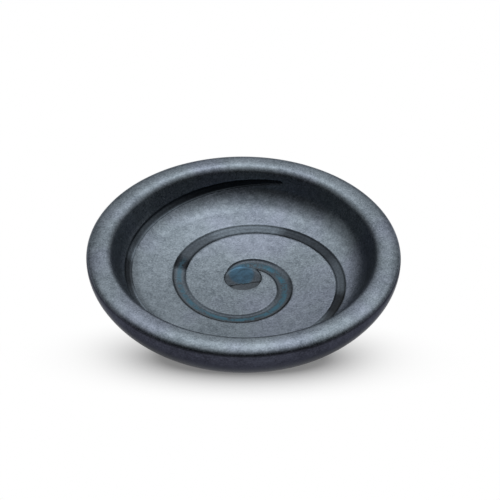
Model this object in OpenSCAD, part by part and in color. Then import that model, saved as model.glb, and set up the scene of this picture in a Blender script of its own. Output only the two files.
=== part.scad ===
// A small round sauce dish in thick-walled stoneware.
// It has a wide rolled rim, a sloping wall, a nearly flat floor and a turned foot ring.
// A channel is cut in the wet clay from a round eye near the middle of the floor.
// It spirals out clockwise, climbs the wall and fades below the rim.
// Glossy glaze lines the channel and stands in the eye as a flat pool.

/* [Dish] */
// Diameter at the widest line of the rim
dish_d = 95; // [88:0.5:110]
// Height from the table to the crest of the rim
dish_h = 20; // [19:0.5:24]
// Thickness of the floor between the bowl and the well under it
floor_t = 4.4; // [3.6:0.1:5.2]

/* [Rim] */
// Radius of the outermost edge of the rim
edge_r = 2.1; // [1.4:0.1:2.8]
// Radius of the shoulder between that edge and the crest
shoulder_r = 5.4; // [4.6:0.2:6.6]
// Radius of the broad crest
crest_r = 11.2; // [9:0.2:14]
// Radius of the lip where the rim turns down into the bowl
lip_r = 2.6; // [2:0.1:3.2]

/* [Bowl] */
// Lean of the inner wall from upright, in degrees
wall_lean = 22; // [18:1:26]
// Radius of the cove between the floor and the wall
cove_r = 9; // [7:0.5:11]
// Radius of the gentle hollow of the floor
floor_r = 220; // [160:10:400]

/* [Outside] */
// Radius of the belly just under the widest line
belly_r = 10.5; // [9:0.5:12]
// Slope of the underside where it meets the foot, in degrees
under_slope = 10; // [6:1:14]

/* [Foot] */
// Width of the foot ring's outside as a share of the dish's
foot_share = 0.62; // [0.56:0.01:0.68]
// Width of the foot ring on the table
foot_w = 3.6; // [3:0.2:5]
// Height of the foot ring outside
foot_h = 2; // [1.5:0.1:2.6]
// Height of the well inside the foot ring
well_h = 2.1; // [1.5:0.1:2.6]
// Rounding of the two edges that stand on the table
heel_r = 0.5; // [0.3:0.1:0.8]
// Hollow at the root of the foot ring and round its well
root_r = 0.9; // [0.6:0.1:1.2]

/* [Glaze] */
// Thickness of the slate glaze
glaze_t = 0.4; // [0.3:0.05:0.5]
// Width of bare clay between the slate glaze and the foot ring
bare_w = 0.8; // [0.4:0.1:1.6]
// Thickness of the glossy glaze that lines the channel
lining_t = 0.35; // [0.25:0.05:0.5]

/* [Spiral] */
// Width of the channel where it leaves the eye
groove_w = 5; // [4:0.2:6]
// Depth of the open channel in the first turn
groove_depth = 0.7; // [0.5:0.05:0.9]
// Diameter of the round eye
eye_d = 11.7; // [10:0.1:13]
// Depth of the eye's bowl under its glaze, not counting the lining
eye_depth = 1.8; // [1.4:0.1:2]
// Depth of the pool's flat surface below the floor
pool_depth = 0.7; // [0.6:0.05:0.9]
// Place of the eye to the right of the middle
eye_x = -0.15; // [-1:0.05:1]
// Place of the eye behind the middle
eye_y = 1.6; // [1:0.1:2.2]

/* [Hidden] */
$fn = 120;

// Angles on the outline are tilts of the outward normal: 0 is up, 90 is out, 180 is down.
crest_turn = 8;
shoulder_turn = 26;
wall_turn = wall_lean - 90;
belly_turn = 115;
under_turn = 180 - under_slope;
heel_turn = 96;
sole_turn = 180;
well_turn = 264;
dish_r = dish_d / 2;
foot_r = foot_share * dish_r;
eye_r = eye_d / 2;
bowl_depth = dish_h - well_h - floor_t;

// The spiral, one row for each quarter turn, clockwise as seen from above.
// All its turns are counted in quarters: quarter 0 points right, and the first row left.
// Each row holds the place of the channel's midline as a share of the run from the middle
// of the floor up to the crest, then its width and its depth as shares of the named sizes.
first_turn = -2;
spiral_shares = [
    [0.058, 0.70, 0.60],
    [0.1525, 0.98, 0.75],
    [0.245, 1.00, 1.00],
    [0.373, 0.78, 1.00],
    [0.3995, 0.80, 0.95],
    [0.4845, 0.77, 0.90],
    [0.603, 0.58, 0.80],
    [0.690, 0.50, 0.70],
    [0.727, 0.50, 0.65],
    [0.838, 0.46, 0.55],
    [1.000, 0.10, 0.30]
];
// The channel starts inside the eye and ends on the wall at the back.
start_turn = -1.6;
end_turn = 7.2;
turn_steps = 12;
// Over this stretch the channel runs out to its tip.
tip_turn = 0.5;
tip_share = 0.12;
section_steps = 8;
// Cutters rise above the surface that they cut by this share of the channel's width.
overrun_share = 0.35;
overrun = overrun_share * groove_w;
// A cut stands upright over this share of its depth, so that its edge at the surface is clean.
brow_share = 0.12;

function normal(t) = [sin(t), cos(t)];
// Points of an arc with their normals; a negative radius makes a hollow.
// An arc that carries on from the one before it skips its first point.
function turn(centre, radius, from, to, steps, skip = 0) = [
    for (i = [skip : steps])
        let (t = from + (to - from) * i / steps, n = normal(t))
            [centre.x + radius * n.x, centre.y + radius * n.y, n.x, n.y]
];
// Centre of the rounding where two straight flanks meet at a point.
function corner(point, from, to, radius) =
    let (a = normal(from), b = normal(to))
        point - radius * (a + b) / (1 + a * b);
function flat(points) = [for (p = points) [p[0], p[1]]];
function offset_by(points, gap) = [
    for (p = points) [max(0, p[0] + gap * p[2]), p[1] + gap * p[3]]
];
function reversed(list) = [for (i = [len(list) - 1 : -1 : 0]) list[i]];

// The rim is a chain of tangent arcs, worked out from its widest line.
crest_x = dish_r - edge_r * (1 - sin(shoulder_turn))
    - shoulder_r * (sin(shoulder_turn) - sin(crest_turn)) - crest_r * sin(crest_turn);
crest_c = [crest_x, dish_h - crest_r];
shoulder_c = crest_c + (crest_r - shoulder_r) * normal(crest_turn);
edge_c = shoulder_c + (shoulder_r - edge_r) * normal(shoulder_turn);
lip_c = crest_c + (crest_r - lip_r) * normal(-crest_turn);
lip_end = lip_c + lip_r * normal(wall_turn);

// The cove touches both the straight wall and the hollow floor.
floor_c = [0, dish_h - bowl_depth + floor_r];
wall_dir = [-sin(wall_lean), -cos(wall_lean)];
cove_from_lip = lip_end + cove_r * normal(wall_turn) - floor_c;
cove_b = cove_from_lip * wall_dir;
cove_q = cove_from_lip * cove_from_lip - pow(floor_r - cove_r, 2);
wall_run = -cove_b + sqrt(cove_b * cove_b - cove_q);
cove_c = floor_c + cove_from_lip + wall_run * wall_dir;
floor_turn = -asin(cove_c.x / (floor_r - cove_r));

// The outside hangs from the widest line and sweeps in to the top of the foot ring.
belly_c = [dish_r - belly_r, edge_c.y];
belly_end = belly_c + belly_r * normal(belly_turn);
under_k = tan(under_slope);
haunch_r = (belly_end.y - foot_h - (belly_end.x - foot_r) * under_k)
    / (cos(belly_turn) - cos(under_turn) - (sin(belly_turn) - sin(under_turn)) * under_k);
haunch_c = belly_end - haunch_r * normal(belly_turn);
glaze_end_x = foot_r + bare_w;

skin = concat(
    turn(floor_c, -floor_r, 0, floor_turn, 5),
    turn(cove_c, -cove_r, floor_turn, wall_turn, 10, 1),
    turn(lip_c, lip_r, wall_turn, -crest_turn, 8),
    turn(crest_c, crest_r, -crest_turn, crest_turn, 4, 1),
    turn(shoulder_c, shoulder_r, crest_turn, shoulder_turn, 4, 1),
    turn(edge_c, edge_r, shoulder_turn, 90, 8, 1),
    turn(belly_c, belly_r, 90, belly_turn, 5, 1),
    turn(haunch_c, haunch_r, belly_turn, under_turn, 11, 1),
    [[glaze_end_x, foot_h + bare_w * under_k, sin(under_turn), cos(under_turn)]]
);

// The foot ring, with its outer flank, its sole, its inner flank and the well.
root = [foot_r, foot_h + glaze_t / cos(under_slope)];
root_c = corner(root, under_turn, heel_turn, -root_r);
heel_x = foot_r - root.y * tan(heel_turn - 90);
heel_c = corner([heel_x, 0], heel_turn, sole_turn, heel_r);
inner_heel_c = corner([heel_x - foot_w, 0], sole_turn, well_turn, heel_r);
well_x = heel_x - foot_w - well_h * tan(heel_turn - 90);
well_c = corner([well_x, well_h], well_turn, sole_turn, -root_r);
ring = concat(
    turn(root_c, -root_r, under_turn, heel_turn, 5),
    turn(heel_c, heel_r, heel_turn, sole_turn, 5),
    turn(inner_heel_c, heel_r, sole_turn, well_turn, 5)
);
well = concat(
    turn(well_c, -root_r, well_turn, sole_turn, 5),
    [[0, well_h, 0, -1]]
);

// Distance run along the inner surface, from the middle of the floor to the crest.
inner_skin = [for (p = skin) if (p[2] <= 0) p];
function step_length(i) = norm([
    inner_skin[i][0] - inner_skin[i - 1][0],
    inner_skin[i][1] - inner_skin[i - 1][1]
]);
run = [
    for (i = 0, sum = 0; i < len(inner_skin); i = i + 1, sum = sum + (i < len(inner_skin) ? step_length(i) : 0))
        sum
];
full_run = run[len(run) - 1];
run_tables = [
    for (k = [0 : 3]) [for (i = [0 : len(inner_skin) - 1]) [run[i], inner_skin[i][k]]]
];
// A point that lies some way along the surface and some height off it.
function surface_point(along, off) =
    let (q = [for (k = [0 : 3]) lookup(along, run_tables[k])])
        [q[0] + off * q[2], q[1] + off * q[3]];

// A smooth curve through the rows of the spiral.
function row_at(i) = spiral_shares[min(max(i, 0), len(spiral_shares) - 1)];
function blend(a, b, c, d, t) =
    b + t * (c - a) / 2 + t * t * (2 * a - 5 * b + 4 * c - d) / 2
    + t * t * t * (3 * b - a - 3 * c + d) / 2;
function spiral_at(quarter) =
    let (x = quarter - first_turn, i = floor(x))
        blend(row_at(i - 1), row_at(i), row_at(i + 1), row_at(i + 2), x - i);
function tip_at(quarter) =
    let (left = max(0, min(1, (end_turn - quarter) / tip_turn)))
        tip_share + (1 - tip_share) * sqrt(left * (2 - left));

// One section across the channel: a half ellipse with upright ends, wider and deeper by a wall.
function bow(quarter, wall) =
    let (
        row = spiral_at(quarter),
        along = row[0] * full_run,
        half = row[1] * groove_w * tip_at(quarter) / 2 + wall,
        deep = row[2] * groove_depth * tip_at(quarter) + wall
    )
    [for (i = [0 : section_steps])
        let (a = 180 * i / section_steps)
            [along - half * cos(a), -deep * max(sin(a), brow_share)]];
// The same section, carried straight up on both sides to a height over the surface.
function raised(quarter, wall, top) =
    let (b = bow(quarter, wall))
        concat([[b[0][0], top]], b, [[b[section_steps][0], top]]);
// The lining's section lies between two of these, with both its edges flush.
function lining_section(quarter) =
    concat(raised(quarter, lining_t, 0), reversed(raised(quarter, 0, 0)));
function place(section, quarter) = [
    for (q = section)
        let (p = surface_point(q[0], q[1]))
            [p[0] * cos(90 * quarter), -p[0] * sin(90 * quarter), p[1]]
];
function quarters() =
    let (steps = ceil((end_turn - start_turn) * turn_steps))
        [for (i = [0 : steps]) start_turn + (end_turn - start_turn) * i / steps];

// A skin of triangles over a row of sections, closed at both ends.
module sweep(sections) {
    last = len(sections) - 1;
    count = len(sections[0]);
    sides = [
        for (i = [0 : last - 1])
            for (j = [0 : count - 1])
                let (a = i * count + j, b = i * count + (j + 1) % count)
                    each [[a, b + count, b], [a, a + count, b + count]]
    ];
    start_cap = [[for (j = [0 : count - 1]) j]];
    end_cap = [[for (j = [count - 1 : -1 : 0]) last * count + j]];
    polyhedron([for (s = sections) each s], concat(sides, start_cap, end_cap), convexity = 12);
}

module channel(wall) {
    sweep([for (q = quarters()) place(raised(q, wall, overrun), q)]);
}

module lining() {
    sweep([for (q = quarters()) place(lining_section(q), q)]);
}

// The eye's bowl: an ellipse under the floor, cut off flat at a given depth.
module eye_bowl(radius, deep, cut) {
    floor_z = dish_h - bowl_depth;
    half_steps = 10;
    bowl = [
        for (i = [0 : half_steps])
            let (a = 90 * i / half_steps)
                [radius * sin(a), -deep * max(cos(a), brow_share)]
    ];
    kept = [for (p = bowl) if (p.y > -cut) p];
    flat_edge = cut < deep ? [[radius * sqrt(1 - pow(cut / deep, 2)), -cut]] : [];
    translate([eye_x, eye_y, floor_z])
        rotate_extrude()
            polygon(concat([[0, -cut]], flat_edge, kept, [[radius, overrun], [0, overrun]]));
}

module finished_form() {
    rotate_extrude()
        polygon(concat(flat(skin), [[glaze_end_x, foot_h], [0, foot_h]]));
}

// What the glossy glaze and the air above it take out of the clay and the slate glaze.
module eye_bed() {
    eye_bowl(eye_r + lining_t, eye_depth + lining_t, eye_depth + lining_t);
}

module channel_bed() {
    channel(lining_t);
}

module stoneware_body() {
    color("#8c8078")
        difference() {
            rotate_extrude()
                polygon(concat(offset_by(skin, -glaze_t), flat(ring), flat(well)));
            channel_bed();
            eye_bed();
        }
}

module slate_glaze_coat() {
    color("#5d6874")
        difference() {
            rotate_extrude()
                polygon(concat(flat(skin), reversed(offset_by(skin, -glaze_t))));
            channel_bed();
            eye_bed();
        }
}

module foot_well_glaze() {
    color("#4d5763")
        rotate_extrude()
            polygon(concat(flat(well), reversed(offset_by(well, glaze_t))));
}

module spiral_glaze() {
    color("#3c5a66")
        difference() {
            lining();
            eye_bed();
        }
}

module eye_glaze_pool() {
    color("#3f6f95")
        difference() {
            intersection() {
                eye_bed();
                finished_form();
            }
            channel(0);
            eye_bowl(eye_r, eye_depth, pool_depth);
        }
}

stoneware_body();
slate_glaze_coat();
foot_well_glaze();
spiral_glaze();
eye_glaze_pool();
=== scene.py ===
# %% [markdown]
# A small sauce dish, thrown in stoneware.
# The real dish was thrown on a wheel, had a spiral channel cut in its wet floor, and was glazed twice:
# a satin slate glaze all over, and a glossy one that was trailed into the channel and stood as a pool in the round eye.
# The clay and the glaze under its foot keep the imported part's solids and get new materials. The other glazes are made
# again, because their rounded edges and level surfaces give the dish its look.

import math

import bmesh
import bpy
import numpy as np
from mathutils import Matrix, Vector


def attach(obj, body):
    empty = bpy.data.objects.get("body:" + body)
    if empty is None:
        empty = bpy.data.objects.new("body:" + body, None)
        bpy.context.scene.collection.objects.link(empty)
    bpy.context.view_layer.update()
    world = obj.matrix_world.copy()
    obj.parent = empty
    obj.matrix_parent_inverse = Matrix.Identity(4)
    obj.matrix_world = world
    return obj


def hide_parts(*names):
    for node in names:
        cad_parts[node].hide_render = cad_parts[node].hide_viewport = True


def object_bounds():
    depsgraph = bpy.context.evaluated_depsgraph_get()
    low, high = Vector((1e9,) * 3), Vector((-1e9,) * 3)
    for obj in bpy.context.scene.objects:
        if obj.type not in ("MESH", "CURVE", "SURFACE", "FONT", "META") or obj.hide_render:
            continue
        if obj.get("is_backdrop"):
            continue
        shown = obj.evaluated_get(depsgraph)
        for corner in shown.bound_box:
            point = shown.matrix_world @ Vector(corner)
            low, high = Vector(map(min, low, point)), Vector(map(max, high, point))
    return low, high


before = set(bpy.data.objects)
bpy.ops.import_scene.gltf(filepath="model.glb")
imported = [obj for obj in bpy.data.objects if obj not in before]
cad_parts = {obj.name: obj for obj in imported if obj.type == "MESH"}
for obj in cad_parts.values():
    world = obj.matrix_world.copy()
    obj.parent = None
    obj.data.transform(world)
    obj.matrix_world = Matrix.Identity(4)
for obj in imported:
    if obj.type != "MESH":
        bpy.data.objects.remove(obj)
cad_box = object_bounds()
print("packed nodes:", sorted(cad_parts))

# %% [markdown]
# The dish's outline is a chain of arcs that flow into one another, as a potter's rib leaves it.
# A curve drawn by hand and turned with the Screw modifier would do for a dish on its own. Here the glaze has to lie
# on the clay everywhere, so the arcs are worked out from the part's own sizes, in metres, and give its skin again.
# Each point also keeps the direction that the surface faces there, which later gives the glaze its thickness.

# %% Sizes of the outline
MM = 0.001
DISH_R, DISH_H, BOWL_DEPTH = 47.5 * MM, 20 * MM, 13.5 * MM
EDGE_R, SHOULDER_R, CREST_R, LIP_R = 2.1 * MM, 5.4 * MM, 11.2 * MM, 2.6 * MM
WALL_LEAN, COVE_R, FLOOR_R = 22, 9 * MM, 220 * MM
BELLY_R, UNDER_SLOPE = 10.5 * MM, 10
FOOT_R, FOOT_H, BARE_W = 29.45 * MM, 2 * MM, 0.8 * MM
print(f"dish {2 * DISH_R / MM:.0f} mm across, {DISH_H / MM:.0f} mm high")


# %% Arcs and the rim
def facing(tilt):
    """The direction of a tilt: 0 faces up, 90 faces out and 180 faces down."""
    return np.array([math.sin(math.radians(tilt)), math.cos(math.radians(tilt))])


def arc(centre, radius, start, stop, steps, skip=0):
    """Points of an arc from one tilt to another, each with its facing."""
    tilts = [start + (stop - start) * i / steps for i in range(skip, steps + 1)]
    return [[*(np.array(centre) + radius * facing(t)), *facing(t)] for t in tilts]


CREST_TURN, SHOULDER_TURN, WALL_TURN = 8, 26, WALL_LEAN - 90
crest_x = DISH_R - EDGE_R - (
    (SHOULDER_R - EDGE_R) * facing(SHOULDER_TURN)[0] + (CREST_R - SHOULDER_R) * facing(CREST_TURN)[0]
)
crest_c = np.array([crest_x, DISH_H - CREST_R])
shoulder_c = crest_c + (CREST_R - SHOULDER_R) * facing(CREST_TURN)
edge_c = shoulder_c + (SHOULDER_R - EDGE_R) * facing(SHOULDER_TURN)
lip_c = crest_c + (CREST_R - LIP_R) * facing(-CREST_TURN)
lip_end = lip_c + LIP_R * facing(WALL_TURN)
print("crest of the rim at a radius of", round(crest_x / MM, 2), "mm")

# %% The cove between floor and wall
floor_c = np.array([0, DISH_H - BOWL_DEPTH + FLOOR_R])
down_wall = -np.array([math.sin(math.radians(WALL_LEAN)), math.cos(math.radians(WALL_LEAN))])
from_lip = lip_end + COVE_R * facing(WALL_TURN) - floor_c
half_b = from_lip @ down_wall
wall_run = -half_b + math.sqrt(half_b**2 - from_lip @ from_lip + (FLOOR_R - COVE_R) ** 2)
cove_c = floor_c + from_lip + wall_run * down_wall
floor_turn = -math.degrees(math.asin(cove_c[0] / (FLOOR_R - COVE_R)))
print(f"straight wall {wall_run / MM:.2f} mm long")

# %% The haunch over the foot
BELLY_TURN, UNDER_TURN = 115, 180 - UNDER_SLOPE
belly_c = np.array([DISH_R - BELLY_R, edge_c[1]])
belly_end = belly_c + BELLY_R * facing(BELLY_TURN)
under_k = math.tan(math.radians(UNDER_SLOPE))
reach = belly_end[1] - FOOT_H - (belly_end[0] - FOOT_R) * under_k
turned = facing(BELLY_TURN) - facing(UNDER_TURN)
haunch_r = reach / (turned[1] - turned[0] * under_k)
haunch_c = belly_end - haunch_r * facing(BELLY_TURN)
print(f"haunch radius {haunch_r / MM:.2f} mm")

# %% Both sides of the dish as rows of points
inner = np.array(
    arc(floor_c, -FLOOR_R, 0, floor_turn, 300)
    + arc(cove_c, -COVE_R, floor_turn, WALL_TURN, 90, 1)
    + arc(lip_c, LIP_R, WALL_TURN, -CREST_TURN, 30)
    + arc(crest_c, CREST_R, -CREST_TURN, 0, 12, 1)
)
outer = (
    arc(crest_c, CREST_R, 0, CREST_TURN, 3, 1)
    + arc(shoulder_c, SHOULDER_R, CREST_TURN, SHOULDER_TURN, 7, 1)
    + arc(edge_c, EDGE_R, SHOULDER_TURN, 90, 10, 1)
    + arc(belly_c, BELLY_R, 90, BELLY_TURN, 7, 1)
    + arc(haunch_c, haunch_r, BELLY_TURN, UNDER_TURN, 16, 1)
    + [[FOOT_R + BARE_W, FOOT_H + BARE_W * under_k, *facing(UNDER_TURN)]]
)
steps = np.linalg.norm(np.diff(inner[:, :2], axis=0), axis=1)
inner_run = np.concatenate([[0], np.cumsum(steps)])
FULL_RUN = inner_run[-1]


def on_bowl(run):
    """Point and facing of the bowl's skin at a distance run from the middle of the floor."""
    return np.array([np.interp(run, inner_run, inner[:, k]) for k in range(4)])


print(f"from the middle of the floor up to the crest: {FULL_RUN / MM:.2f} mm")

# %% [markdown]
# The spiral channel was cut in the wet clay with a loop tool, from the eye outwards, while the wheel turned.
# A spiral from a formula would look machined, and one drawn point by point would not fit the solid's.
# So it follows a rule: one row for each quarter turn says how far out the channel runs,
# how wide it is and how deep, and a smooth curve joins the rows. The same numbers shape the channel in the clay.

# %% The channel's path
GROOVE_W, GROOVE_DEPTH = 5 * MM, 0.7 * MM
FIRST_QUARTER, START_QUARTER, END_QUARTER, TIP_QUARTERS, TIP_SHARE = -2, -1.6, 7.2, 0.5, 0.12
SPIRAL = np.array([
    [0.058, 0.70, 0.60], [0.1525, 0.98, 0.75], [0.245, 1.00, 1.00], [0.373, 0.78, 1.00],
    [0.3995, 0.80, 0.95], [0.4845, 0.77, 0.90], [0.603, 0.58, 0.80], [0.690, 0.50, 0.70],
    [0.727, 0.50, 0.65], [0.838, 0.46, 0.55], [1.000, 0.10, 0.30],
])


def spiral_at(quarter):
    """Distance out, half width and depth of the channel at a quarter turn."""
    place = quarter - FIRST_QUARTER
    i = math.floor(place)
    a, b, c, d = (SPIRAL[min(max(k, 0), len(SPIRAL) - 1)] for k in (i - 1, i, i + 1, i + 2))
    t = place - i
    row = b + t * (c - a) / 2 + t * t * (2 * a - 5 * b + 4 * c - d) / 2 + t**3 * (3 * b - a - 3 * c + d) / 2
    left = max(0, min(1, (END_QUARTER - quarter) / TIP_QUARTERS))
    tip = TIP_SHARE + (1 - TIP_SHARE) * math.sqrt(left * (2 - left))
    return row[0] * FULL_RUN, row[1] * GROOVE_W / 2 * tip, row[2] * GROOVE_DEPTH * tip


START_DEGREE, END_DEGREE = round(START_QUARTER * 90), round(END_QUARTER * 90)
degrees = np.arange(START_DEGREE, END_DEGREE + 1)
path = np.array([spiral_at(d / 90) for d in degrees])
print(f"{(END_DEGREE - START_DEGREE) / 360:.2f} turns, {2 * path[:, 1].max() / MM:.1f} mm wide at most")

# %% [markdown]
# The slate glaze is satin, close to metal in the way that it takes the light, with a fine pale speckle where crystals
# grew as it cooled. A picture wrapped round the dish would stretch on its wall, and noise on Object coordinates has the
# same grain everywhere. So three sizes of it mix the colour, a fourth adds a violet tinge, and the finest also drives
# roughness and bump. Attributes on the mesh say where the colour changes. "outside" leads over the rim's bend from 0 to
# 1 and down to the underside from 1 to 2. A painted dark band over the bend stands for the dark room that it mirrors,
# and painted shade darkens the outside, most of all the underside, for the shadowed floor that they mirror.
# "brow" marks the channel's edge, where a painted dark line stands for the shade of the channel's steep side.


# %% Helpers for node trees
def add(tree, kind, links=None, **settings):
    """A new node, with its settings made first and its inputs joined or given values."""
    made = tree.nodes.new(kind)
    for key, value in settings.items():
        setattr(made, key, value)
    for key, value in (links or {}).items():
        if isinstance(value, bpy.types.NodeSocket):
            tree.links.new(value, made.inputs[key])
        else:
            made.inputs[key].default_value = value
    return made


def tree_of(*values):
    """The tree that the first socket among these values stands in."""
    return next(value.id_data for value in values if isinstance(value, bpy.types.NodeSocket))


def sums(operation, *values):
    """One step of arithmetic."""
    return add(tree_of(*values), "ShaderNodeMath", dict(enumerate(values)), operation=operation).outputs[0]


def spread(value, low, high, to_low=0.0, to_high=1.0, smooth=False):
    """A number stretched from one range to another, evenly or with soft ends."""
    links = {"Value": value, "From Min": low, "From Max": high, "To Min": to_low, "To Max": to_high}
    kind = "SMOOTHSTEP" if smooth else "LINEAR"
    return add(tree_of(value), "ShaderNodeMapRange", links, interpolation_type=kind).outputs[0]


print("helpers: add, tree_of, sums, spread")


# %% Helpers for materials
def new_material(name, metallic=0.0, **fixed):
    """A material with its shader, what is the same all over set on it, and the object's own coordinates."""
    made = bpy.data.materials.new(name)
    made.use_nodes = True
    tree = made.node_tree
    shader = tree.nodes["Principled BSDF"]
    shader.inputs["Metallic"].default_value = metallic
    for key, value in fixed.items():
        shader.inputs[key.replace("_", " ")].default_value = value
    return made, tree, shader, tree.nodes.new("ShaderNodeTexCoord").outputs["Object"]


def grain(where, per_metre, detail=2.0, rough=0.5):
    """Noise of a given fineness, as one number from 0 to 1."""
    links = {"Vector": where, "Scale": per_metre, "Detail": detail, "Roughness": rough}
    return add(tree_of(where), "ShaderNodeTexNoise", links).outputs[0]


def carried(tree, label):
    """A share that the mesh carries as an attribute."""
    return add(tree, "ShaderNodeAttribute", attribute_name=label).outputs["Fac"]


def finish_with(shader, colour, roughness, height, depth):
    """Gives a shader its colour, its roughness, and very small relief from a number."""
    bump = add(shader.id_data, "ShaderNodeBump", {"Height": height, "Distance": depth, "Strength": 1.0})
    for label, socket in (("Base Color", colour), ("Roughness", roughness), ("Normal", bump.outputs[0])):
        shader.id_data.links.new(socket, shader.inputs[label])


print("helpers: new_material, grain, carried, finish_with")


# %% Mixing colours, and the colours of the slate glaze
def tinted(factor, first, second, blend="MIX"):
    """A colour between two, written out or made by nodes, which a Mix node takes in its sockets 6 and 7."""
    made = add(tree_of(factor, first), "ShaderNodeMix", {0: factor}, data_type="RGBA", blend_type=blend)
    for socket, colour in ((made.inputs[6], first), (made.inputs[7], second)):
        if isinstance(colour, bpy.types.NodeSocket):
            colour.id_data.links.new(colour, socket)
        else:
            socket.default_value = (*colour, 1)
    return made.outputs[2]


# The darkest and the palest colour of each place.
BOWL_SIDE = (0.071, 0.088, 0.103), (0.207, 0.243, 0.276)
# The outside and the underside are darker as painted shade, for the shadowed floor that they mirror.
LOW_SIDE_SHADE = (0.017, 0.018, 0.027), (0.060, 0.064, 0.090)
UNDERSIDE_SHADE = (0.007, 0.007, 0.011), (0.027, 0.028, 0.040)
PLAIN_OR_VIOLET = (1.0, 1.0, 1.0), (0.97, 0.9, 1.04)
# Painted shade: a dark line on the channel's brow, and a dark band over the rim's bend for the dark room that it
# mirrors.
BROW_SHADE_COLOUR, BROW_SHADE_SHARE, BEND_SHADE_SHARE = (0.02, 0.026, 0.032), 0.55, 0.9
print("palest slate", BOWL_SIDE[1], "darkest", UNDERSIDE_SHADE[0])


# %% The satin slate glaze
def slate_material(name, dark, pale):
    made, tree, shader, where = new_material(name, metallic=0.92, Specular_Tint=(0.52, 0.53, 0.56, 1))
    speck, mottle = grain(where, per_metre=1850, rough=0.65), grain(where, per_metre=520, rough=0.55)
    cloud, patch = grain(where, per_metre=75, detail=3.0, rough=0.55), grain(where, per_metre=48)
    outside, brow = carried(tree, "outside"), carried(tree, "brow")
    fleck = sums("MULTIPLY", spread(speck, 0.42, 0.70), 0.58)
    fleck = sums("MULTIPLY_ADD", spread(mottle, 0.3, 0.7), 0.34, fleck)
    level = sums("MULTIPLY_ADD", spread(cloud, 0.3, 0.7), 0.3, fleck)
    violet = tinted(spread(patch, 0.48, 0.66, 0.0, 0.5), *PLAIN_OR_VIOLET)
    upper = tinted(1.0, tinted(level, dark, pale), violet, blend="MULTIPLY")
    # Painted shade: the brow's dark line.
    upper = tinted(sums("MULTIPLY", brow, BROW_SHADE_SHARE), upper, BROW_SHADE_COLOUR)
    # Painted shade: darker over the rim's bend, down the outside and most on the underside.
    low_side_shade, underside_shade = tinted(level, *LOW_SIDE_SHADE), tinted(level, *UNDERSIDE_SHADE)
    bend = sums("MINIMUM", spread(outside, 0.35, 0.65), spread(outside, 1.02, 0.8))
    side = tinted(spread(outside, 0.0, 1.0), upper, low_side_shade)
    side = tinted(sums("MULTIPLY", bend, BEND_SHADE_SHARE), side, underside_shade)
    side = tinted(spread(outside, 1.0, 2.0), side, underside_shade)
    finish_with(shader, side, spread(speck, 0.3, 0.7, to_low=0.26, to_high=0.36), speck, depth=0.018 * MM)
    return made


slate_glaze = slate_material("satin_slate_glaze", *BOWL_SIDE)
print("made", slate_glaze.name, "of", len(slate_glaze.node_tree.nodes), "nodes")

# %% [markdown]
# The glossy glaze is dark and finely flecked where it lies thick, and dries to a satin skin where it runs out.
# A separate material for each look would leave hard borders. So one recipe mixes them all by four attributes:
# "thread", a broken teal line along the bottom of the channel, "pooled", the blue of the eye, "laid", how
# thick and dark it is, together with painted shade in the stretches and lines where the channel's steep sides lie in
# shade, and "satin". Both glossy pieces read the same four, so hardly a line shows where they meet.

# %% The glossy glazes
THIN = (0.050, 0.062, 0.076), (0.106, 0.130, 0.154)
THICK_AND_SHADE = (0.003, 0.004, 0.006), (0.012, 0.016, 0.021)
BLUE, TEAL = ((0.021, 0.046, 0.070), (0.033, 0.078, 0.122)), (0.028, 0.088, 0.126)
SATIN_ROUGHNESS = 0.17


def gloss_material(name):
    made, tree, shader, where = new_material(name, metallic=0.9)
    cloud, wave = grain(where, per_metre=420, detail=3.0, rough=0.6), grain(where, per_metre=180)
    speck = grain(where, per_metre=1700, rough=0.6)
    thread, pooled, laid, satin = (carried(tree, label) for label in ("thread", "pooled", "laid", "satin"))
    level = sums("MULTIPLY_ADD", spread(speck, 0.35, 0.65), 0.6, sums("MULTIPLY", cloud, 0.4))
    # Darker where the glaze lies thick, and where painted shade is added.
    plain = tinted(laid, tinted(level, *THIN), tinted(level, *THICK_AND_SHADE))
    dashed = spread(sums("MULTIPLY_ADD", speck, 0.45, cloud), 0.58, 0.80)
    teal = tinted(sums("MULTIPLY", thread, dashed), plain, TEAL)
    blue = tinted(spread(cloud, 0.35, 0.65), *BLUE)
    wet = spread(wave, 0.3, 0.7, to_low=0.15, to_high=0.23)
    roughness = sums("MULTIPLY_ADD", satin, SATIN_ROUGHNESS, wet)
    finish_with(shader, tinted(pooled, teal, blue), roughness, wave, depth=0.03 * MM)
    return made


channel_gloss = gloss_material("glossy_channel_glaze")
pool_gloss = gloss_material("glossy_pool_glaze")
print("made", channel_gloss.name, "and", pool_gloss.name)

# %% [markdown]
# The foot ring is bare clay, so that the dish doesn't stick to the kiln shelf, and the well inside it is glazed.
# Nothing of them shows in the photograph. New pieces would look no better than the solids, so the solids stay and take
# new materials: a matt, gritty clay with specks of iron, and the slate glaze again, a little darker.

# %% The bare clay
CLAY, IRON = ((0.16, 0.115, 0.085), (0.27, 0.21, 0.165)), (0.06, 0.035, 0.022)
bare_clay, _, shader, where = new_material("bare_stoneware")
grit, cloud = grain(where, per_metre=1500, detail=3.0, rough=0.65), grain(where, per_metre=110, detail=3.0)
body = tinted(spread(grit, 0.62, 0.74), tinted(cloud, *CLAY), IRON)
finish_with(shader, body, spread(grit, 0.3, 0.7, to_low=0.75, to_high=0.95), grit, depth=0.06 * MM)
print("made", bare_clay.name)

# %% The clay and the well are dressed
well_glaze = slate_material("satin_well_glaze", (0.034, 0.038, 0.050), (0.090, 0.099, 0.117))
for name, material in (("stoneware_body", bare_clay), ("foot_well_glaze", well_glaze)):
    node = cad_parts[name]
    node.data.materials.clear()
    node.data.materials.append(material)
    print(name, "takes", material.name)

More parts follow.
